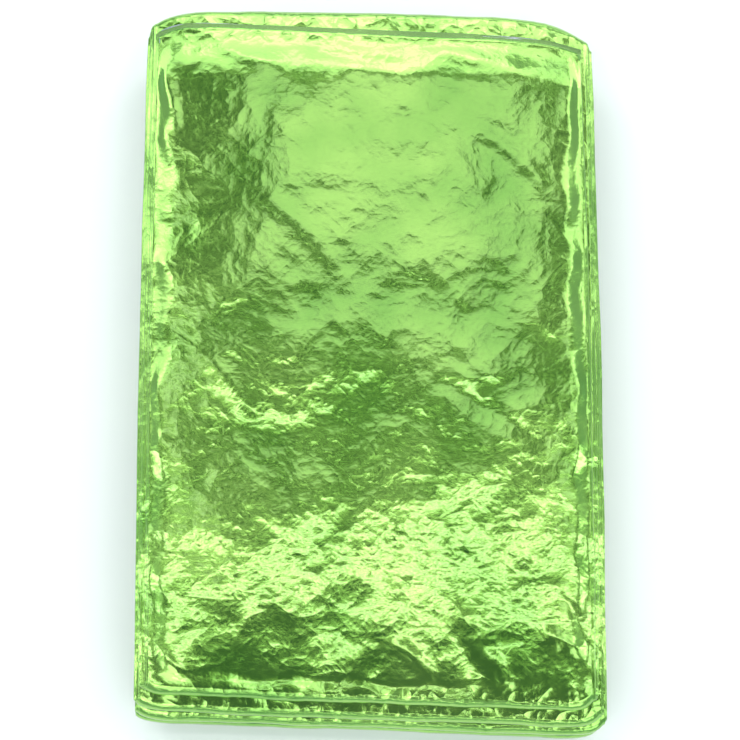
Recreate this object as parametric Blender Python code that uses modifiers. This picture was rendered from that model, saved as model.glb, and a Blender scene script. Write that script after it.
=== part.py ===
"""An emergency foil blanket, folded into a flat packet.

The sheet is folded side to side into a band of many plies, and the band is folded back and forth along Y.
Each layer here is the whole band, so the section shows thirteen layers and twelve turned ends.
Odd layers, counted from the bottom, run away from the front end. The last one ends in a free edge on top.
Metres, +Z up. The origin is on the floor under the middle of the packet.
"""

import math
from collections import namedtuple

import bmesh
import bpy

MM = 0.001

# The flat sheet, and the counts that it is folded by
CUT_WIDTH = 1600 * MM
CUT_LENGTH = 2100 * MM
LAYER_COUNT = 13
PLY_COUNT = 26

# The packet that these folds give. It is longer than its mean layer, because the layers are uneven.
UNEVENNESS = 2.8 * MM
MEAN_LAYER_LENGTH = CUT_WIDTH / LAYER_COUNT
PACKET_LENGTH = MEAN_LAYER_LENGTH + UNEVENNESS
BAND_WIDTH = CUT_LENGTH / PLY_COUNT
BAND_THICKNESS = 1.15 * MM
LAYER_GAP = 0.3 * MM
PITCH = BAND_THICKNESS + LAYER_GAP

# How far the middle of the top layer rises over its rim, and the powers that shape the rise
CROWN = 1.8 * MM
CROWN_POWER_ACROSS = 3
CROWN_POWER_ALONG = 6

# How much further in each side stands at the packet's ends than halfway along it
WAIST = 0.6 * MM

# How finely the faces follow the form
STEPS_ACROSS = 12
STEPS_ALONG_LAYER = 6
STEPS_ROUND_TURN = 6
SHARP_ANGLE = math.radians(50)

# The three kinds of end seen from above: how much each slopes back per metre to the right, how far its corners
# are pushed in, and how sharp they are. A higher power keeps the push closer to the corner. Millimetres.
End = namedtuple("End", "slope left_push left_power right_push right_power")
FAR_END = End(slope=0.018, left_push=2.4, left_power=13, right_push=4.3, right_power=6)
FREE_EDGE = End(slope=0.046, left_push=2.2, left_power=13, right_push=1.6, right_power=8)
NEAR_END = End(slope=0.037, left_push=0.8, left_power=28, right_push=2.0, right_power=26)

# How far in from the near end the bottom layer starts
START_IN = 1.2

# From the bottom up: how far each layer stands in at its left and right sides and at the end it runs to, and how
# far its far end swings to the right. Millimetres. The last end is the free edge on top.
Layer = namedtuple("Layer", "left_in right_in end_in swing")
LAYERS = (
    Layer(left_in=1.7, right_in=1.5, end_in=3.4, swing=0.1),
    Layer(left_in=0.9, right_in=1.1, end_in=2.0, swing=-0.2),
    Layer(left_in=0.8, right_in=0.4, end_in=2.4, swing=0.2),
    Layer(left_in=0.3, right_in=0.6, end_in=0.8, swing=0.0),
    Layer(left_in=0.5, right_in=0.3, end_in=1.7, swing=-0.2),
    Layer(left_in=0.0, right_in=0.4, end_in=0.0, swing=0.2),
    Layer(left_in=0.2, right_in=0.2, end_in=1.0, swing=0.1),
    Layer(left_in=0.0, right_in=0.3, end_in=0.3, swing=-0.1),
    Layer(left_in=0.4, right_in=0.2, end_in=0.5, swing=-0.2),
    Layer(left_in=0.4, right_in=0.6, end_in=1.5, swing=0.2),
    Layer(left_in=0.9, right_in=0.8, end_in=0.0, swing=-0.1),
    Layer(left_in=1.4, right_in=1.6, end_in=4.0, swing=0.2),
    Layer(left_in=2.3, right_in=2.6, end_in=3.4, swing=-0.2),
)

FOIL_COLOUR = (0.34, 0.52, 0.08, 1.0)
FOIL_ROUGHNESS = 0.28
FOIL_METALLIC = 1.0


def clear_scene():
    for obj in list(bpy.data.objects):
        bpy.data.objects.remove(obj, do_unlink=True)


def layer_height(index, across, along):
    """The height of a layer's middle. across and along run from -1 to 1 over the packet."""
    rise = (1 - abs(across) ** CROWN_POWER_ACROSS) * (1 - min(abs(along), 1) ** CROWN_POWER_ALONG)
    return BAND_THICKNESS / 2 + index * PITCH + CROWN * rise * index / (LAYER_COUNT - 1)


def side_place(index, across, along):
    """Where a point of the layer stands along X."""
    layer = LAYERS[index]
    inset = layer.right_in * max(across, 0) - layer.left_in * max(-across, 0)
    return across * (BAND_WIDTH / 2 - WAIST * along ** 2) + (layer.swing * along - inset) * MM


def end_place(kind, outward, inset, across):
    """Where a turned or free end stands along Y, for one column."""
    if across < 0:
        push = kind.left_push * (-across) ** kind.left_power
    else:
        push = kind.right_push * across ** kind.right_power
    return outward * (PACKET_LENGTH / 2 - (push + inset) * MM) - kind.slope * across * BAND_WIDTH / 2


def spread(step, steps):
    """Even steps drawn towards both ends, from -1 to 1."""
    return math.sin(math.pi / 2 * (2 * step / steps - 1))


def layer_point(index, across, y):
    along = y / (PACKET_LENGTH / 2)
    return (side_place(index, across, along), y, layer_height(index, across, along))


def turn_points(index, across, y, outward):
    """The half circle from one layer up to the next, without its two ends."""
    low = layer_point(index, across, y)
    high = layer_point(index + 1, across, y)
    points = []
    for step in range(1, STEPS_ROUND_TURN):
        angle = math.pi * step / STEPS_ROUND_TURN
        share = (1 - math.cos(angle)) / 2
        reach = (high[2] - low[2]) / 2 * math.sin(angle)
        x = low[0] + (high[0] - low[0]) * share
        points.append((x, y + outward * reach, low[2] + (high[2] - low[2]) * share))
    return points


def fold_line(across):
    """The middle of the band in one column, as (x, y, z) points from the end below to the free edge on top."""
    points = []
    start = end_place(NEAR_END, -1, START_IN, across)
    for index, layer in enumerate(LAYERS):
        outward = 1 if index % 2 == 0 else -1
        last = index == LAYER_COUNT - 1
        if last:
            end = end_place(FREE_EDGE, outward, layer.end_in, across)
        else:
            kind = FAR_END if outward > 0 else NEAR_END
            turn_reach = (PITCH + BAND_THICKNESS) / 2
            end = end_place(kind, outward, layer.end_in, across) - outward * turn_reach
        for step in range(STEPS_ALONG_LAYER + 1):
            share = (spread(step, STEPS_ALONG_LAYER) + 1) / 2
            points.append(layer_point(index, across, start + (end - start) * share))
        if not last:
            points.extend(turn_points(index, across, end, outward))
        start = end
    return points


def foil_material():
    material = bpy.data.materials.new("gold_foil")
    material.use_nodes = True
    shader = material.node_tree.nodes["Principled BSDF"]
    shader.inputs["Base Color"].default_value = FOIL_COLOUR
    shader.inputs["Roughness"].default_value = FOIL_ROUGHNESS
    shader.inputs["Metallic"].default_value = FOIL_METALLIC
    return material


def folded_blanket(collection):
    """A flat grid laid along the folds, then given the band's thickness."""
    columns = [fold_line(spread(step, STEPS_ACROSS)) for step in range(STEPS_ACROSS + 1)]
    rows = len(columns[0])
    flat = bmesh.new()
    bmesh.ops.create_grid(flat, x_segments=STEPS_ACROSS, y_segments=rows - 1, size=1)
    for vertex in flat.verts:
        column = round((vertex.co.x + 1) / 2 * STEPS_ACROSS)
        row = round((vertex.co.y + 1) / 2 * (rows - 1))
        vertex.co = columns[column][row]
    mesh = bpy.data.meshes.new("foil_blanket")
    flat.to_mesh(mesh)
    flat.free()
    mesh.materials.append(foil_material())
    blanket = bpy.data.objects.new("foil_blanket", mesh)
    collection.objects.link(blanket)
    thickness = blanket.modifiers.new("band thickness", "SOLIDIFY")
    thickness.thickness = BAND_THICKNESS
    thickness.offset = 0
    thickness.use_even_offset = True
    mesh.shade_smooth()
    mesh.set_sharp_from_angle(angle=SHARP_ANGLE)
    return blanket


def stand_on_origin(blanket):
    """Moves the packet so that the middle of its box is over the origin."""
    bpy.context.view_layer.update()
    corners = blanket.evaluated_get(bpy.context.evaluated_depsgraph_get()).bound_box
    for axis in (0, 1):
        places = [corner[axis] for corner in corners]
        blanket.location[axis] = -(min(places) + max(places)) / 2
    blanket.location[2] = -min(corner[2] for corner in corners)
    bpy.context.view_layer.update()


def main():
    clear_scene()
    collection = bpy.data.collections.new("emergency_foil_blanket")
    bpy.context.scene.collection.children.link(collection)
    stand_on_origin(folded_blanket(collection))


main()
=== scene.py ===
"""The looks of a folded emergency foil blanket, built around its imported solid. Metres, +Z up.

The whole sheet is modelled as it is folded. It is folded in half with the gold side out, then back and forth
into a band of thirteen double plies, and the band is folded back and forth into thirteen layers.
"""

import math
from collections import namedtuple

import bpy
import numpy as np
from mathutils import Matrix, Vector


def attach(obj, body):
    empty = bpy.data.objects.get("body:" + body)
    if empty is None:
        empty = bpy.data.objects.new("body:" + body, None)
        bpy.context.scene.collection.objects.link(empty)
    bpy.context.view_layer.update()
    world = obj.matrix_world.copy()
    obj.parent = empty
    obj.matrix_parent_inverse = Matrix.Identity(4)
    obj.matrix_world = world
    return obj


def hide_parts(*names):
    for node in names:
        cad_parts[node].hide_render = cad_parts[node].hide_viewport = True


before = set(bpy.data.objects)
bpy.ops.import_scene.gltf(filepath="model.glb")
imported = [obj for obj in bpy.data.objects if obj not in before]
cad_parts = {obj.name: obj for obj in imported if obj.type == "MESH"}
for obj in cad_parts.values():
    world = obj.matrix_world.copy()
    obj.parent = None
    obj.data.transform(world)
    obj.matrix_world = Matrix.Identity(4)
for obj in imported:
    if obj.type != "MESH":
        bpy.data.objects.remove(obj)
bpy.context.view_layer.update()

MM = 0.001

# The flat sheet and how it is folded
CUT_WIDTH = 1.6
CUT_LENGTH = 2.1
LAYERS_HIGH = 13
DOUBLE_PLIES = 13

# The packet's sizes, as in the solid that this piece stands for. Only the band is thicker, by 0.1 mm, so that
# less of a gap shows between the layers.
BAND_WIDTH = CUT_LENGTH / 2 / DOUBLE_PLIES
UNEVENNESS = 2.8 * MM
MEAN_LAYER_LENGTH = CUT_WIDTH / LAYERS_HIGH
PACKET_LENGTH = MEAN_LAYER_LENGTH + UNEVENNESS
PITCH = 1.45 * MM
BAND_THICKNESS = 1.25 * MM
PLY_PITCH = BAND_THICKNESS / DOUBLE_PLIES
PLY_OFFSET = 0.2 * PLY_PITCH
CROWN = 1.8 * MM
CROWN_POWER_ACROSS = 3
CROWN_POWER_ALONG = 6
WAIST = 0.6 * MM

# The three kinds of end seen from above, as in the solid. Millimetres, and slopes in metres per metre.
End = namedtuple("End", "slope left_push left_power right_push right_power")
FAR_END = End(slope=0.018, left_push=2.4, left_power=13, right_push=4.3, right_power=6)
FREE_EDGE = End(slope=0.046, left_push=2.2, left_power=13, right_push=1.6, right_power=8)
NEAR_END = End(slope=0.037, left_push=0.8, left_power=28, right_push=2.0, right_power=26)
START_IN = 1.2

# The layers from the bottom up, as in the solid. Millimetres.
Layer = namedtuple("Layer", "left_in right_in end_in swing")
LAYERS = (
    Layer(left_in=1.7, right_in=1.5, end_in=3.4, swing=0.1),
    Layer(left_in=0.9, right_in=1.1, end_in=2.0, swing=-0.2),
    Layer(left_in=0.8, right_in=0.4, end_in=2.4, swing=0.2),
    Layer(left_in=0.3, right_in=0.6, end_in=0.8, swing=0.0),
    Layer(left_in=0.5, right_in=0.3, end_in=1.7, swing=-0.2),
    Layer(left_in=0.0, right_in=0.4, end_in=0.0, swing=0.2),
    Layer(left_in=0.2, right_in=0.2, end_in=1.0, swing=0.1),
    Layer(left_in=0.0, right_in=0.3, end_in=0.3, swing=-0.1),
    Layer(left_in=0.4, right_in=0.2, end_in=0.5, swing=-0.2),
    Layer(left_in=0.4, right_in=0.6, end_in=1.5, swing=0.2),
    Layer(left_in=0.9, right_in=0.8, end_in=0.0, swing=-0.1),
    Layer(left_in=1.4, right_in=1.6, end_in=4.0, swing=0.2),
    Layer(left_in=2.3, right_in=2.6, end_in=3.4, swing=-0.2),
)
TOP_LAYER = LAYERS_HIGH - 1
TOP_PLY = DOUBLE_PLIES - 1

# How unevenly the folded edges lie. Millimetres, but for the waves, powers and shares, and for the curl,
# which is in ply pitches.
FOLD_JITTER = 0.16
FOLD_WANDER = 0.13
WANDER_LENGTHS = (61.0, 27.0, 11.0)
LIP_ROUNDING = 0.42
END_SLIP = 0.25
END_SLIP_WAVE = 4.1
END_SLIP_WAVE_SHARE = 0.4
END_STEP = 0.08
END_SQUEEZE = 0.65
END_SQUEEZE_REACH = 5.0
EDGE_LIFT = 0.12
EDGE_LIFT_REACH = 3.0
EDGE_LIFT_POWER = 4
EDGE_LIFT_WAVES = (5.3, 2.1)
EDGE_LIFT_PHASE = 0.8
EDGE_CURL = 0.5
TURN_RIPPLE = 0.24
TURN_SWAY = 0.07

# Soft swells of the whole packet's top, and creases in its outer ply. Millimetres from the packet's middle.
Swell = namedtuple("Swell", "x y reach_x reach_y height")
SWELLS = (
    Swell(x=-18, y=38, reach_x=17, reach_y=20, height=0.34),
    Swell(x=21, y=30, reach_x=15, reach_y=25, height=-0.30),
    Swell(x=2, y=4, reach_x=24, reach_y=13, height=0.26),
    Swell(x=-23, y=-16, reach_x=13, reach_y=20, height=-0.30),
    Swell(x=24, y=-20, reach_x=14, reach_y=19, height=0.30),
    Swell(x=-4, y=-43, reach_x=25, reach_y=12, height=-0.26),
    Swell(x=-29, y=-47, reach_x=9, reach_y=12, height=0.22),
    Swell(x=30, y=52, reach_x=9, reach_y=9, height=0.25),
)
Crease = namedtuple("Crease", "x0 y0 x1 y1 width height")
CREASES = (
    Crease(x0=-30, y0=57, x1=-14, y1=52, width=1.3, height=0.22),
    Crease(x0=-12, y0=54, x1=9, y1=52.5, width=1.1, height=-0.18),
    Crease(x0=6, y0=55, x1=24, y1=53, width=1.2, height=0.20),
    Crease(x0=-39, y0=59, x1=-33, y1=38, width=1.2, height=0.24),
    Crease(x0=4, y0=-47, x1=11, y1=-57, width=0.9, height=0.22),
    Crease(x0=14, y0=-48, x1=21, y1=-57, width=1.0, height=-0.20),
    Crease(x0=19, y0=-50, x1=24, y1=-58, width=0.8, height=0.22),
    Crease(x0=29, y0=-46, x1=38, y1=-53, width=1.1, height=0.26),
    Crease(x0=31, y0=-40, x1=37, y1=-49, width=0.8, height=-0.16),
    Crease(x0=-36, y0=-50, x1=-27, y1=-58, width=1.1, height=0.20),
    Crease(x0=-20, y0=30, x1=-3, y1=13, width=1.4, height=0.15),
    Crease(x0=10, y0=-2, x1=30, y1=-17, width=1.5, height=-0.14),
    Crease(x0=-31, y0=2, x1=-17, y1=-12, width=1.2, height=0.13),
    Crease(x0=17, y0=43, x1=33, y1=27, width=1.3, height=0.15),
)

# Long straight creases that cross and leave flat facets between them: the direction across each set in
# degrees, the distance from ridge to ridge, and the height. Millimetres.
Facets = namedtuple("Facets", "turn length height phase")
FACETS = (
    Facets(turn=8, length=47, height=0.26, phase=0.31),
    Facets(turn=63, length=31, height=0.20, phase=0.12),
    Facets(turn=118, length=37, height=0.22, phase=0.55),
    Facets(turn=152, length=23, height=0.13, phase=0.83),
    Facets(turn=86, length=19, height=0.09, phase=0.40),
    Facets(turn=37, length=14, height=0.07, phase=0.68),
    Facets(turn=131, length=11, height=0.05, phase=0.22),
)
FACET_DRIFT = 1.6
FACET_DRIFT_SIZES = (13, 17)
FACET_PATCH_SIZES = (19, 23)
FACET_PATCH_SHARE = 0.35
OUTER_PLY_CLEARANCE = 0.12
CREASE_BEND = 0.5
CREASE_BEND_HALF_WAVES = 1.7
CREASE_TAPER = 0.3
TOP_SIDE_FADE = 3.2
TOP_TURN_FADE = 2.6
FREE_EDGE_FADE = 8.0
FREE_EDGE_SHARE = 0.25
FADE_SPREAD = 0.55

# How finely the sheet follows its folds
INNER_STEPS_ACROSS = 6
OUTER_STEPS_ACROSS = 36
TOP_STEPS_ACROSS = 110
STEPS_ROUND_FOLD = 2
STEPS_ALONG_LAYER = 14
EXTRA_STEPS_AT_END = 4
TOP_STEPS_ALONG = 168
STEPS_ROUND_TURN = 6

SEED = 7
rng = np.random.default_rng(SEED)
FOLD_SHIFT = rng.uniform(-1, 1, (LAYERS_HIGH, DOUBLE_PLIES + 1))
FOLD_PHASE = rng.uniform(0, 2 * math.pi, (LAYERS_HIGH, DOUBLE_PLIES + 1, len(WANDER_LENGTHS)))
SLIP = rng.uniform(0, 1, (2, DOUBLE_PLIES))
SLIP_PHASE = rng.uniform(0, 2 * math.pi, (2, DOUBLE_PLIES))

# How many rows of cells at the free edge on top show silver where the sheet's gold side is down
SILVER_ROWS = 3

# Where the texture space goes: the top's own part of it, and the rest for everything else
TOP_UV_SHARE = 0.62

# The film's colours. The darker gold is painted shade: it lies in soft patches where the noise of the soft
# relief is low, darkening the relief's hollows.
GOLD = (0.305, 0.565, 0.105, 1)
GOLD_PAINTED_SHADE = (0.18, 0.42, 0.058, 1)
SILVER = (0.72, 0.76, 0.76, 1)
GOLD_EDGE_TINT = (0.85, 1.0, 0.65, 1)
SILVER_EDGE_TINT = (1.0, 1.0, 1.0, 1)
# Where the painted shade of the soft relief's hollows begins and where it is full, in the relief's noise.
PAINTED_SHADE_FROM = 0.3
PAINTED_SHADE_FULL = 0.62

# The film's gloss: its roughness runs between two values with the grain, under a clear coat
ROUGHNESS_MIN = 0.10
ROUGHNESS_MAX = 0.24
COAT_WEIGHT = 0.9
COAT_ROUGHNESS = 0.08
COAT_IOR = 1.55

# The film's fine relief, as bump. Millimetres, and the detail is how many finer octaves each has.
Relief = namedtuple("Relief", "size height detail")
SOFT_RELIEF = Relief(size=16.0, height=0.6, detail=2.0)
WIDE_CRINKLES = Relief(size=17.0, height=0.22, detail=2.0)
SMALL_CRINKLES = Relief(size=5.0, height=0.05, detail=2.0)
UPRIGHT_CRINKLES = Relief(size=2.2, height=0.03, detail=1.0)
PUCKERS = Relief(size=3.6, height=0.20, detail=1.0)
GRAIN = Relief(size=0.7, height=0.012, detail=3.0)
UPRIGHT_STRETCH = (1, 1, 6)
RELIEF_ROUGHNESS = 0.5
GRAIN_ROUGHNESS = 0.6
RIDGE_OFFSET = 1.0
RIDGE_GAIN = 1.6
RIDGE_PEAK = 2.0
WARP_SIZE = 9.0
WARP_AMOUNT = 2.5
WARP_DETAIL = 2.0

# How far from the packet's middle the puckers of its ends begin, and where they are full. Millimetres.
PUCKERS_FROM = 55.5
PUCKERS_FULL = 58.5

# The floor
FLOOR_SIZE = 6.0
FLOOR_DROP = 0.1 * MM
FLOOR_DARK = (0.93, 0.94, 0.94, 1)
FLOOR_LIGHT = (0.96, 0.97, 0.97, 1)
FLOOR_GRAIN_SCALE = 40.0
FLOOR_GRAIN_DETAIL = 2.0
FLOOR_ROUGHNESS = 0.9
FLOOR_SPECULAR = 0.1

# The camera, which looks down at the packet's top from a little in front. The lens and sensor are in
# millimetres.
CAMERA_TILT = math.radians(12)
CAMERA_DISTANCE = 0.40
CAMERA_AIM = Vector((0.0, -0.001, 0.012))
SENSOR = 36.0
LENS = 111.8
CLIP_START = 0.01

# Rectangular lights that face the packet. The radiance is how bright each looks, whatever its size. Metres.
Softbox = namedtuple("Softbox", "name x y z width depth radiance")
SOFTBOXES = (
    Softbox(name="overhead_softbox", x=0.03, y=0.38, z=1.00, width=0.46, depth=0.30, radiance=1.35),
    Softbox(name="overhead_bar", x=0.00, y=0.03, z=0.85, width=1.10, depth=0.04, radiance=6.0),
    Softbox(name="left_bar", x=-0.72, y=0.02, z=0.50, width=0.045, depth=0.50, radiance=6.0),
    Softbox(name="right_bar", x=0.72, y=0.02, z=0.50, width=0.045, depth=0.50, radiance=6.0),
    Softbox(name="left_strip", x=-0.42, y=0.26, z=0.85, width=0.06, depth=0.46, radiance=2.2),
    Softbox(name="right_strip", x=0.47, y=0.20, z=0.80, width=0.07, depth=0.38, radiance=2.0),
    Softbox(name="far_overhead_softbox", x=0.00, y=0.80, z=0.90, width=0.90, depth=0.30, radiance=1.8),
    Softbox(name="far_softbox", x=0.00, y=1.25, z=0.45, width=1.00, depth=0.35, radiance=1.0),
    Softbox(name="left_far_softbox", x=-0.75, y=0.80, z=0.70, width=0.40, depth=0.50, radiance=2.2),
    Softbox(name="right_far_softbox", x=0.75, y=0.80, z=0.70, width=0.40, depth=0.50, radiance=2.2),
    Softbox(name="near_bar", x=0.00, y=-0.55, z=0.95, width=0.90, depth=0.03, radiance=5.0),
    Softbox(name="near_low_bar", x=0.00, y=-1.00, z=0.60, width=0.70, depth=0.04, radiance=4.0),
)

# Soft lights from far away, which light the whole floor alike: two high ones on the camera's side, and a ring
# around, alternately lower and higher. The width is how wide each one looks.
DistantLight = namedtuple("DistantLight", "name x y z strength")
HIGH_LIGHTS = (
    DistantLight(name="left_high_light", x=-0.42, y=-0.36, z=1.00, strength=0.30),
    DistantLight(name="right_high_light", x=0.42, y=-0.36, z=1.00, strength=0.30),
)
RING_LIGHTS = 7
RING_START = math.radians(-10)
RING_ELEVATIONS = (math.radians(38), math.radians(50))
RING_STRENGTH = 0.215
DISTANT_LIGHT_WIDTH = math.radians(22)

# The sky from the horizon up. The height is the upward part of a direction, and the colours are shares of the
# strength.
SkyStop = namedtuple("SkyStop", "height red green blue")
SKY_STRENGTH = 2.0
SKY_STOPS = (
    SkyStop(height=0.00, red=0.26, green=0.37, blue=0.39),
    SkyStop(height=0.26, red=0.26, green=0.36, blue=0.38),
    SkyStop(height=0.48, red=0.23, green=0.29, blue=0.30),
    SkyStop(height=0.72, red=0.23, green=0.29, blue=0.30),
    SkyStop(height=0.82, red=0.06, green=0.09, blue=0.09),
)

# What one column of the sheet needs: its place from the left side to the right, its height in the band, the
# folds that its ply ends at on the left and right, how far it bulges past them, and its place on the flat
# sheet.
Columns = namedtuple("Columns", "across height left_fold right_fold reach cut")


def even(steps):
    return np.linspace(0, 1, steps + 1)


def drawn_to_ends(steps):
    """Shares from 0 to 1, closer together near both ends."""
    return (1 - np.cos(math.pi * even(steps))) / 2


def bell(distance):
    return np.exp(-distance ** 2)


def fade_in(distance, length):
    """From 0 to 1, smoothly, over a length."""
    share = np.clip(distance / length, 0, 1)
    return share * share * (3 - 2 * share)


def outward_of(layer):
    """Odd layers from the bottom run to the far end, which is +Y."""
    return 1 if layer % 2 == 0 else -1


def ply_columns(ply, side, shares):
    """The flat part of one ply. side is 1 for the sheet's first half, and -1 for its second."""
    leftwards = (TOP_PLY - ply) % 2 == 0
    facing = 1 if leftwards else -1
    height = -BAND_THICKNESS / 2 + (ply + 0.5) * PLY_PITCH + side * facing * PLY_OFFSET
    to_left = leftwards == (side > 0)
    across = 1 - 2 * shares if to_left else 2 * shares - 1
    left_fold, right_fold = (ply, ply + 1) if leftwards else (ply + 1, ply)
    before = TOP_PLY - ply if side > 0 else DOUBLE_PLIES + ply
    return [
        (place, height, left_fold, right_fold, 0.0, before + share)
        for place, share in zip(across, shares)
    ]


def fold_columns(fold, side):
    """The turn from one ply to the next, seen from the sheet's first or second half."""
    end = -1 if (TOP_PLY - fold) % 2 == 0 else 1
    radius = PLY_PITCH / 2 - end * side * PLY_OFFSET
    middle = -BAND_THICKNESS / 2 + fold * PLY_PITCH
    before = DOUBLE_PLIES - fold if side > 0 else DOUBLE_PLIES + fold
    columns = []
    for step in range(1, STEPS_ROUND_FOLD + 1):
        angle = math.pi * step / (STEPS_ROUND_FOLD + 1)
        reach = end * radius * math.sin(angle)
        height = middle + side * radius * math.cos(angle)
        columns.append((end, height, fold, fold, reach, before))
    return columns


def half_fold_column():
    """The sheet's own middle, where it is folded in half."""
    return [(-1, -BAND_THICKNESS / 2 + PLY_PITCH / 2, 0, 0, -PLY_OFFSET, DOUBLE_PLIES)]


def as_columns(rows):
    across, height, left_fold, right_fold, reach, cut = (np.array(part) for part in zip(*rows))
    return Columns(across, height, left_fold, right_fold, reach, cut / (2 * DOUBLE_PLIES))


def sheet_columns():
    """Every column in order over the flat sheet. The first and last plies to lie outside get more of them."""
    inner = drawn_to_ends(INNER_STEPS_ACROSS)
    outer = drawn_to_ends(OUTER_STEPS_ACROSS)
    rows = []
    for ply in range(TOP_PLY, -1, -1):
        rows += ply_columns(ply, 1, outer if ply == TOP_PLY else inner)
        rows += fold_columns(ply, 1) if ply else half_fold_column()
    for ply in range(DOUBLE_PLIES):
        rows += fold_columns(ply, -1) if ply else []
        rows += ply_columns(ply, -1, inner if ply else outer)
    return as_columns(rows)


def swell(across, along):
    """The soft rises and hollows of the packet's top."""
    x = across * BAND_WIDTH / 2 / MM
    y = along * PACKET_LENGTH / 2 / MM
    total = 0
    for row in SWELLS:
        total = total + row.height * bell((x - row.x) / row.reach_x) * bell((y - row.y) / row.reach_y)
    return total * MM


def layer_height(layer, across, along):
    """The height of a layer's middle. across and along run from -1 to 1 over the packet."""
    flat_across = 1 - np.abs(across) ** CROWN_POWER_ACROSS
    flat_along = 1 - np.minimum(np.abs(along), 1) ** CROWN_POWER_ALONG
    lift = (CROWN + swell(across, along)) * flat_across * flat_along
    return BAND_THICKNESS / 2 + layer * PITCH + lift * layer / TOP_LAYER


def wander(phases, place):
    """A smooth unevenness from -1 to 1 along a length in metres, one phase for each of its waves."""
    total = 0
    for number, length in enumerate(WANDER_LENGTHS):
        total = total + np.sin(2 * math.pi * place / (length * MM) + phases[..., number])
    return total / len(WANDER_LENGTHS)


def side_place(layer, fold, side, along):
    """Where a fold or cut edge at the left or right side of a layer stands along X."""
    row = LAYERS[layer]
    inset = row.right_in if side > 0 else row.left_in
    inset = inset + FOLD_JITTER * FOLD_SHIFT[layer, fold]
    inset = inset + FOLD_WANDER * wander(FOLD_PHASE[layer, fold], along * PACKET_LENGTH / 2)
    inset = inset + LIP_ROUNDING * (2 * fold / DOUBLE_PLIES - 1) ** 2
    flat_end = BAND_WIDTH / 2 - PLY_PITCH / 2 - PLY_OFFSET - WAIST * along ** 2
    return side * (flat_end - inset * MM) + row.swing * along * MM


def across_place(layer, columns, along):
    left = side_place(layer, columns.left_fold, -1, along)
    right = side_place(layer, columns.right_fold, 1, along)
    return left + (right - left) * (columns.across + 1) / 2 + columns.reach


def end_place(kind, outward, inset, across):
    """Where a turned or free end stands along Y."""
    left_push = kind.left_push * np.abs(across) ** kind.left_power
    right_push = kind.right_push * np.abs(across) ** kind.right_power
    push = np.where(across < 0, left_push, right_push)
    return outward * (PACKET_LENGTH / 2 - (push + inset) * MM) - kind.slope * across * BAND_WIDTH / 2


def turn_place(layer, across):
    """Where the straight part of a layer ends and its turn begins."""
    outward = outward_of(layer)
    kind = FAR_END if outward > 0 else NEAR_END
    return end_place(kind, outward, LAYERS[layer].end_in, across) - outward * (PITCH + BAND_THICKNESS) / 2


def ply_of(columns):
    """The ply that each column belongs to, counted from the band's lower side."""
    return np.clip(np.round((columns.height + BAND_THICKNESS / 2) / PLY_PITCH - 0.5), 0, TOP_PLY).astype(int)


def slip(end, columns):
    """How far each ply's cut edge stands back at a free end. Higher plies stand further back, unevenly."""
    ply = ply_of(columns)
    wave = np.sin(columns.across * END_SLIP_WAVE + SLIP_PHASE[end, ply])
    return (END_SLIP * (SLIP[end, ply] + END_SLIP_WAVE_SHARE * wave) + END_STEP * ply) * MM


def free_end_place(columns):
    return end_place(FREE_EDGE, 1, LAYERS[TOP_LAYER].end_in, columns.across) - slip(1, columns)


def height_in_band(columns, distance):
    """The height over the band's middle. At the free edge on top the plies are pressed together."""
    squeeze = 1 - END_SQUEEZE * bell(distance / (END_SQUEEZE_REACH * MM))
    return (columns.height + BAND_THICKNESS / 2) * squeeze - BAND_THICKNESS / 2


def row_shares(layer):
    """Where the rows of a layer lie along it. A cut end has one row more, for the curl of its edge."""
    shares = even(STEPS_ALONG_LAYER)
    if layer == 0:
        shares = np.concatenate([[0], shares])
    if layer == TOP_LAYER:
        extra = even(EXTRA_STEPS_AT_END)[1:-1] / STEPS_ALONG_LAYER
        shares = np.concatenate([np.sort(np.concatenate([shares, 1 - extra])), [1]])
    return shares


def edge_lift(columns, distance):
    """The free edge on top curls up a little, the upper plies more than the lower ones."""
    share = np.clip(columns.height / BAND_THICKNESS + 0.5, 0, 1) ** EDGE_LIFT_POWER
    quick, slow = (columns.across * waves for waves in EDGE_LIFT_WAVES)
    wave = 0.5 + 0.5 * np.sin(quick + EDGE_LIFT_PHASE) * np.cos(slow)
    return EDGE_LIFT * MM * share * wave * bell(distance / (EDGE_LIFT_REACH * MM))


def straight_rows(layer, columns, shares):
    """The flat part of one layer, as x, y and z for every row and column."""
    if layer:
        start = turn_place(layer - 1, columns.across)
    else:
        start = end_place(NEAR_END, -1, START_IN, columns.across) + slip(0, columns)
    end = free_end_place(columns) if layer == TOP_LAYER else turn_place(layer, columns.across)
    y = start + (end - start) * shares[:, None]
    along = y / (PACKET_LENGTH / 2)
    height = outward_of(layer) * columns.height
    if layer == TOP_LAYER:
        height = height_in_band(columns, end - y) + edge_lift(columns, end - y)
    z = layer_height(layer, columns.across, along) + height
    if layer == 0:
        z[0] = np.maximum(z[0] - EDGE_CURL * PLY_PITCH, 0)
    if layer == TOP_LAYER:
        z[-1] -= EDGE_CURL * PLY_PITCH
    return across_place(layer, columns, along), y, z


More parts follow.
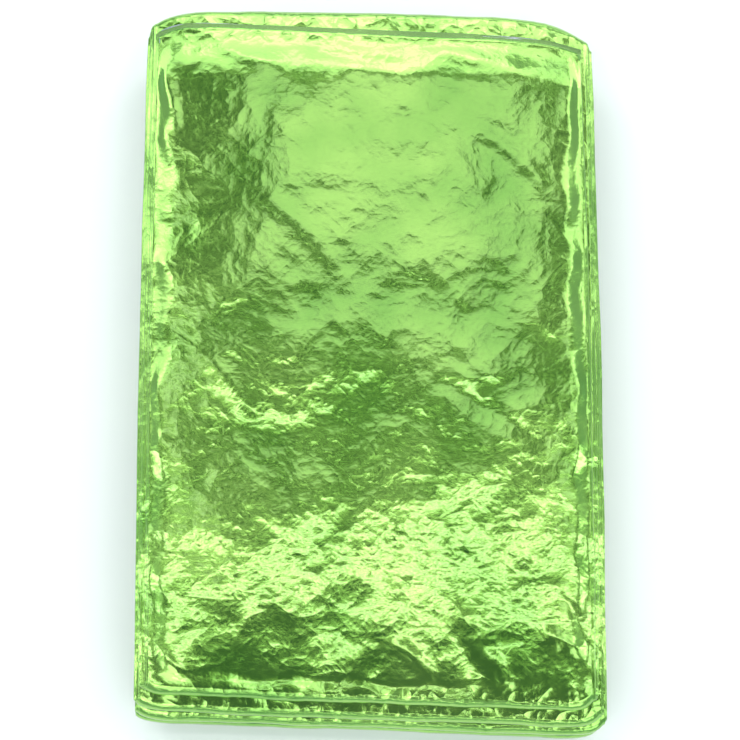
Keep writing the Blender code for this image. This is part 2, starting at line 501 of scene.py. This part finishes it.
def turn_rows(layer, columns):
    """The half circle from one layer up to the next, without its two ends."""
    outward = outward_of(layer)
    foot = turn_place(layer, columns.across)
    along = foot / (PACKET_LENGTH / 2)
    low = layer_height(layer, columns.across, along)
    high = layer_height(layer + 1, columns.across, along)
    angle = (even(STEPS_ROUND_TURN)[1:-1] * math.pi)[:, None]
    radius = (high - low) / 2 - outward * columns.height
    ripple = TURN_RIPPLE * MM * wander(FOLD_PHASE[layer, 0], columns.across * BAND_WIDTH / 2)
    sway = TURN_SWAY * MM * wander(FOLD_PHASE[layer, 1], columns.across * BAND_WIDTH / 2)
    x_low = across_place(layer, columns, along)
    x_high = across_place(layer + 1, columns, along)
    x = x_low + (x_high - x_low) * (1 - np.cos(angle)) / 2
    y = foot + outward * (radius + ripple) * np.sin(angle)
    z = (low + high) / 2 - radius * np.cos(angle) + sway * np.sin(angle)
    return x, y, z


def crease_relief(x, y):
    """The creases of the outer ply, with soft ends. x and y are in millimetres."""
    total = 0
    for row in CREASES:
        run = Vector((row.x1 - row.x0, row.y1 - row.y0))
        length = run.length
        step = run / length
        forward = (x - row.x0) * step.x + (y - row.y0) * step.y
        aside = (y - row.y0) * step.x - (x - row.x0) * step.y
        bend = CREASE_BEND * np.sin(forward / length * math.pi * CREASE_BEND_HALF_WAVES + row.x0)
        taper_length = length * CREASE_TAPER
        taper = fade_in(forward, taper_length) * fade_in(length - forward, taper_length)
        total = total + row.height * taper * bell((aside - bend) / row.width)
    return total


def facet_relief(x, y):
    """Flat facets between crossing creases, never below zero. x and y are in millimetres."""
    drift_x, drift_y = FACET_DRIFT_SIZES
    patch_x, patch_y = FACET_PATCH_SIZES
    total = 0
    for row in FACETS:
        turn = math.radians(row.turn)
        drift = np.sin(x / drift_x + row.turn) * np.sin(y / drift_y + row.turn / 2)
        along = x * math.cos(turn) + y * math.sin(turn) + FACET_DRIFT * drift
        place = along / row.length + row.phase
        patch = np.sin(x / patch_x + row.turn) * np.sin(y / patch_y - row.turn)
        strength = 1 - FACET_PATCH_SHARE + FACET_PATCH_SHARE * patch
        total = total + row.height * strength * np.abs(2 * (place - np.floor(place)) - 1)
    return total


def grid_faces(rows, columns, left_out=None):
    """Four-sided faces over a grid of points, counted row by row. left_out tells which cells to skip."""
    row, column = np.meshgrid(np.arange(rows - 1), np.arange(columns - 1), indexing="ij")
    keep = np.ones(row.shape, bool) if left_out is None else ~left_out(row, column)
    corner = (row * columns + column)[keep]
    return np.stack([corner, corner + columns, corner + columns + 1, corner + 1], axis=1)


def whole_sheet():
    """Points, texture places and faces of the sheet, but for the ply on top of the packet."""
    columns = sheet_columns()
    parts = []
    for layer in range(LAYERS_HIGH):
        parts.append(straight_rows(layer, columns, row_shares(layer)))
        if layer < TOP_LAYER:
            parts.append(turn_rows(layer, columns))
    x, y, z = (np.concatenate(part) for part in zip(*parts))
    rows = len(x)
    points = np.stack([x, y, z], axis=2).reshape(-1, 3)
    u = TOP_UV_SHARE + (1 - TOP_UV_SHARE) * np.broadcast_to(columns.cut, x.shape)
    v = np.broadcast_to(np.linspace(0, 1, rows)[:, None], x.shape)
    places = np.stack([u, v], axis=2).reshape(-1, 2)
    first_top_row = rows - len(row_shares(TOP_LAYER))

    def on_top(row, column):
        return (row >= first_top_row) & (column < OUTER_STEPS_ACROSS)

    faces = grid_faces(rows, len(columns.across), left_out=on_top)
    return points, places, faces


def top_ply():
    """The ply that shows on top, fine enough for its creases."""
    shares = drawn_to_ends(TOP_STEPS_ACROSS)
    columns = as_columns(ply_columns(TOP_PLY, 1, shares))
    lengthwise = np.append(even(TOP_STEPS_ALONG), 1)
    x, y, z = straight_rows(TOP_LAYER, columns, lengthwise)
    from_side = (1 - np.abs(columns.across)) * BAND_WIDTH / 2
    from_turn = y - y[0]
    side_fade = TOP_SIDE_FADE * MM * (1 + FADE_SPREAD * wander(FOLD_PHASE[TOP_LAYER, TOP_PLY], y))
    turn_fade = TOP_TURN_FADE * MM * (1 + FADE_SPREAD * wander(FOLD_PHASE[TOP_LAYER, 0], x))
    free_fade = FREE_EDGE_SHARE + (1 - FREE_EDGE_SHARE) * fade_in(y[-1] - y, FREE_EDGE_FADE * MM)
    edge = fade_in(from_side, side_fade) * fade_in(from_turn, turn_fade) * free_fade
    relief = OUTER_PLY_CLEARANCE + crease_relief(x / MM, y / MM) + facet_relief(x / MM, y / MM)
    z = z + np.maximum(relief, 0) * MM * edge
    points = np.stack([x, y, z], axis=2).reshape(-1, 3)
    u, v = np.meshgrid(shares * TOP_UV_SHARE, lengthwise)
    places = np.stack([u, v], axis=2).reshape(-1, 2)
    return points, places, grid_faces(len(lengthwise), len(shares))


def shows_silver(row, column, rows, columns):
    """The cells at the free edge on top that turn the sheet's gold side down, so that silver shows."""
    first_half = columns.cut < 0.5
    gold_up = first_half == ((TOP_PLY - ply_of(columns)) % 2 == 0)
    in_ply = np.append((columns.reach[:-1] == 0) & (columns.reach[1:] == 0), False)
    at_free_edge = row >= rows - SILVER_ROWS
    return at_free_edge & ~gold_up[column] & in_ply[column]


def make_blanket():
    """One mesh for the whole sheet."""
    points, places, faces = whole_sheet()
    top_points, top_places, top_faces = top_ply()
    all_faces = np.concatenate([faces, top_faces + len(points)])
    all_places = np.concatenate([places, top_places])
    mesh = bpy.data.meshes.new("folded_foil")
    mesh.from_pydata(np.concatenate([points, top_points]), [], all_faces)
    layout = mesh.uv_layers.new(name="OFBake")
    layout.data.foreach_set("uv", all_places[all_faces.ravel()].ravel())
    mesh.materials.append(gold_film())
    mesh.materials.append(silver_film())
    silver = np.zeros(len(all_faces), int)
    columns = sheet_columns()
    row, column = np.divmod(faces[:, 0], len(columns.across))
    silver[: len(faces)] = shows_silver(row, column, len(points) // len(columns.across), columns)
    mesh.polygons.foreach_set("material_index", silver)
    mesh.shade_smooth()
    mesh.update()
    blanket = bpy.data.objects.new("folded_foil", mesh)
    bpy.context.scene.collection.objects.link(blanket)
    return blanket


def new_material(name):
    material = bpy.data.materials.new(name)
    material.use_nodes = True
    tree = material.node_tree
    return material, tree, tree.nodes["Principled BSDF"]


def add_node(tree, kind, settings=None, **inputs):
    """A new node with its settings, and with the values of its inputs by name."""
    node = tree.nodes.new(kind)
    for name, value in (settings or {}).items():
        setattr(node, name, value)
    for name, value in inputs.items():
        node.inputs[name.replace("_", " ")].default_value = value
    return node


def in_millimetres(tree, stretch=(1, 1, 1)):
    """Object coordinates in millimetres, stretched along an axis where a pattern is longer that way."""
    place = add_node(tree, "ShaderNodeTexCoord")
    scale = add_node(tree, "ShaderNodeMapping", Scale=tuple(1 / MM / part for part in stretch))
    tree.links.new(place.outputs["Object"], scale.inputs["Vector"])
    return scale.outputs["Vector"]


def warped(tree, vector):
    """The same place, pushed about by noise, so that a pattern has no straight cells."""
    noise = add_node(tree, "ShaderNodeTexNoise", Scale=1 / WARP_SIZE, Detail=WARP_DETAIL)
    centre = add_node(tree, "ShaderNodeVectorMath", {"operation": "SUBTRACT"})
    centre.inputs[1].default_value = (0.5, 0.5, 0.5)
    push = add_node(tree, "ShaderNodeVectorMath", {"operation": "SCALE"}, Scale=WARP_AMOUNT)
    total = add_node(tree, "ShaderNodeVectorMath", {"operation": "ADD"})
    tree.links.new(vector, noise.inputs["Vector"])
    tree.links.new(noise.outputs["Color"], centre.inputs[0])
    tree.links.new(centre.outputs["Vector"], push.inputs[0])
    tree.links.new(vector, total.inputs[0])
    tree.links.new(push.outputs["Vector"], total.inputs[1])
    return total.outputs["Vector"]


def crinkles(tree, vector, relief):
    """The height of crinkled film, from 0 to 1: flat hollows between sharp, branching ridges."""
    ridges = add_node(tree, "ShaderNodeTexNoise", {"noise_type": "RIDGED_MULTIFRACTAL"})
    ridges.inputs["Scale"].default_value = 1 / relief.size
    ridges.inputs["Detail"].default_value = relief.detail
    ridges.inputs["Roughness"].default_value = RELIEF_ROUGHNESS
    ridges.inputs["Offset"].default_value = RIDGE_OFFSET
    ridges.inputs["Gain"].default_value = RIDGE_GAIN
    height = add_node(tree, "ShaderNodeMapRange")
    height.inputs["From Max"].default_value = RIDGE_PEAK
    tree.links.new(vector, ridges.inputs["Vector"])
    tree.links.new(ridges.outputs["Fac"], height.inputs["Value"])
    return height.outputs["Result"]


def near_the_ends(tree, place, height):
    """A height that only counts at the packet's two turned ends, where the film puckers."""
    parts = add_node(tree, "ShaderNodeSeparateXYZ")
    distance = add_node(tree, "ShaderNodeMath", {"operation": "ABSOLUTE"})
    share = add_node(tree, "ShaderNodeMapRange", {"interpolation_type": "SMOOTHSTEP"})
    share.inputs["From Min"].default_value = PUCKERS_FROM
    share.inputs["From Max"].default_value = PUCKERS_FULL
    total = add_node(tree, "ShaderNodeMath", {"operation": "MULTIPLY"})
    tree.links.new(place, parts.inputs["Vector"])
    tree.links.new(parts.outputs["Y"], distance.inputs[0])
    tree.links.new(distance.outputs["Value"], share.inputs["Value"])
    tree.links.new(height, total.inputs[0])
    tree.links.new(share.outputs["Result"], total.inputs[1])
    return total.outputs["Value"]


def soft_noise(tree, vector, relief, roughness):
    """Plain noise without ridges, from 0 to 1."""
    node = add_node(tree, "ShaderNodeTexNoise", Scale=1 / relief.size, Detail=relief.detail)
    node.inputs["Roughness"].default_value = roughness
    tree.links.new(vector, node.inputs["Vector"])
    return node.outputs["Fac"]


def raised(tree, height, relief, below=None):
    """A bump node, over the one below it."""
    bump = add_node(tree, "ShaderNodeBump", Strength=1.0, Distance=relief.height * MM)
    tree.links.new(height, bump.inputs["Height"])
    if below is not None:
        tree.links.new(below, bump.inputs["Normal"])
    return bump.outputs["Normal"]


def film_relief(tree, place, bent, soft, grain):
    """The bumps of crinkled film, from the widest to the finest."""
    upright = in_millimetres(tree, UPRIGHT_STRETCH)
    puckers = near_the_ends(tree, place, crinkles(tree, upright, PUCKERS))
    normal = raised(tree, soft, SOFT_RELIEF)
    normal = raised(tree, crinkles(tree, bent, WIDE_CRINKLES), WIDE_CRINKLES, normal)
    normal = raised(tree, crinkles(tree, bent, SMALL_CRINKLES), SMALL_CRINKLES, normal)
    normal = raised(tree, crinkles(tree, upright, UPRIGHT_CRINKLES), UPRIGHT_CRINKLES, normal)
    normal = raised(tree, puckers, PUCKERS, normal)
    return raised(tree, grain, GRAIN, normal)


def film_surface(tree, shader, light, shade_colour, edge_tint):
    """Crinkled metallised film: painted shade, a darker colour in patches where the soft relief is low,
    uneven gloss, crinkles and fine grain.
    """
    place = in_millimetres(tree)
    bent = warped(tree, place)
    soft = soft_noise(tree, bent, SOFT_RELIEF, RELIEF_ROUGHNESS)
    grain = soft_noise(tree, place, GRAIN, GRAIN_ROUGHNESS)
    normal = film_relief(tree, place, bent, soft, grain)
    tree.links.new(normal, shader.inputs["Normal"])
    tree.links.new(normal, shader.inputs["Coat Normal"])
    # Painted shade: the colour turns darker where the soft relief is low, in its hollows.
    colour = add_node(tree, "ShaderNodeMix", {"data_type": "RGBA"})
    colour.inputs["A"].default_value = shade_colour
    colour.inputs["B"].default_value = light
    share = add_node(tree, "ShaderNodeMapRange")
    share.inputs["From Min"].default_value = PAINTED_SHADE_FROM
    share.inputs["From Max"].default_value = PAINTED_SHADE_FULL
    tree.links.new(soft, share.inputs["Value"])
    tree.links.new(share.outputs["Result"], colour.inputs["Factor"])
    tree.links.new(colour.outputs["Result"], shader.inputs["Base Color"])
    gloss = add_node(tree, "ShaderNodeMapRange")
    gloss.inputs["To Min"].default_value = ROUGHNESS_MIN
    gloss.inputs["To Max"].default_value = ROUGHNESS_MAX
    tree.links.new(grain, gloss.inputs["Value"])
    tree.links.new(gloss.outputs["Result"], shader.inputs["Roughness"])
    shader.inputs["Metallic"].default_value = 1.0
    shader.inputs["Specular Tint"].default_value = edge_tint
    shader.inputs["Coat Weight"].default_value = COAT_WEIGHT
    shader.inputs["Coat Roughness"].default_value = COAT_ROUGHNESS
    shader.inputs["Coat IOR"].default_value = COAT_IOR


def gold_film():
    material, tree, shader = new_material("gold_film")
    film_surface(tree, shader, GOLD, GOLD_PAINTED_SHADE, GOLD_EDGE_TINT)
    return material


def silver_film():
    material, tree, shader = new_material("silver_film")
    film_surface(tree, shader, SILVER, SILVER, SILVER_EDGE_TINT)
    return material


def pale_ground():
    material, tree, shader = new_material("pale_ground")
    grain = add_node(tree, "ShaderNodeTexNoise", Scale=FLOOR_GRAIN_SCALE, Detail=FLOOR_GRAIN_DETAIL)
    colour = add_node(tree, "ShaderNodeMix", {"data_type": "RGBA"})
    colour.inputs["A"].default_value = FLOOR_DARK
    colour.inputs["B"].default_value = FLOOR_LIGHT
    tree.links.new(grain.outputs["Fac"], colour.inputs["Factor"])
    tree.links.new(colour.outputs["Result"], shader.inputs["Base Color"])
    shader.inputs["Roughness"].default_value = FLOOR_ROUGHNESS
    shader.inputs["Specular IOR Level"].default_value = FLOOR_SPECULAR
    return material


def make_floor():
    bpy.ops.mesh.primitive_plane_add(size=FLOOR_SIZE, location=(0, 0, -FLOOR_DROP))
    floor = bpy.context.object
    floor.name = "floor"
    floor.data.materials.append(pale_ground())


def add_lamp(row, kind):
    """A light at a row's place, which faces the packet's middle."""
    light = bpy.data.lights.new(row.name, kind)
    lamp = bpy.data.objects.new(row.name, light)
    bpy.context.scene.collection.objects.link(lamp)
    place = Vector((row.x, row.y, row.z))
    lamp.location = place
    lamp.rotation_euler = place.to_track_quat("Z", "Y").to_euler()
    return light


def ring_lights():
    """Rows for the distant lights all around."""
    rows = []
    for number in range(RING_LIGHTS):
        turn = RING_START + 2 * math.pi * number / RING_LIGHTS
        rise = RING_ELEVATIONS[number % 2]
        x = math.cos(turn) * math.cos(rise)
        y = math.sin(turn) * math.cos(rise)
        rows.append(DistantLight(f"ring_light_{number}", x, y, math.sin(rise), RING_STRENGTH))
    return tuple(rows)


def make_lights():
    for row in SOFTBOXES:
        light = add_lamp(row, "AREA")
        light.shape = "RECTANGLE"
        light.size = row.width
        light.size_y = row.depth
        light.energy = row.radiance * math.pi * row.width * row.depth
    for row in HIGH_LIGHTS + ring_lights():
        light = add_lamp(row, "SUN")
        light.angle = DISTANT_LIGHT_WIDTH
        light.energy = row.strength


def make_world():
    """A dim, even, cool sky, which is darker overhead."""
    world = bpy.data.worlds.new("studio")
    world.use_nodes = True
    tree = world.node_tree
    direction = add_node(tree, "ShaderNodeTexCoord")
    parts = add_node(tree, "ShaderNodeSeparateXYZ")
    ramp = add_node(tree, "ShaderNodeValToRGB")
    stops = ramp.color_ramp.elements
    while len(stops) < len(SKY_STOPS):
        stops.new(1.0)
    for stop, row in zip(stops, SKY_STOPS):
        stop.position = row.height
        stop.color = (row.red, row.green, row.blue, 1)
    background = tree.nodes["Background"]
    background.inputs["Strength"].default_value = SKY_STRENGTH
    tree.links.new(direction.outputs["Generated"], parts.inputs["Vector"])
    tree.links.new(parts.outputs["Z"], ramp.inputs["Fac"])
    tree.links.new(ramp.outputs["Color"], background.inputs["Color"])
    bpy.context.scene.world = world


def make_camera():
    lens = bpy.data.cameras.new("camera")
    lens.sensor_width = SENSOR
    lens.lens = LENS
    lens.clip_start = CLIP_START
    camera = bpy.data.objects.new("camera", lens)
    bpy.context.scene.collection.objects.link(camera)
    back = Vector((0, -math.sin(CAMERA_TILT), math.cos(CAMERA_TILT)))
    camera.location = CAMERA_AIM + back * CAMERA_DISTANCE
    camera.rotation_euler = (CAMERA_TILT, 0, 0)
    bpy.context.scene.camera = camera


def main():
    blanket = make_blanket()
    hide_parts("foil_blanket")
    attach(blanket, "root")
    make_floor()
    make_lights()
    make_world()
    make_camera()
    bpy.context.scene.view_settings.view_transform = "Standard"


main()
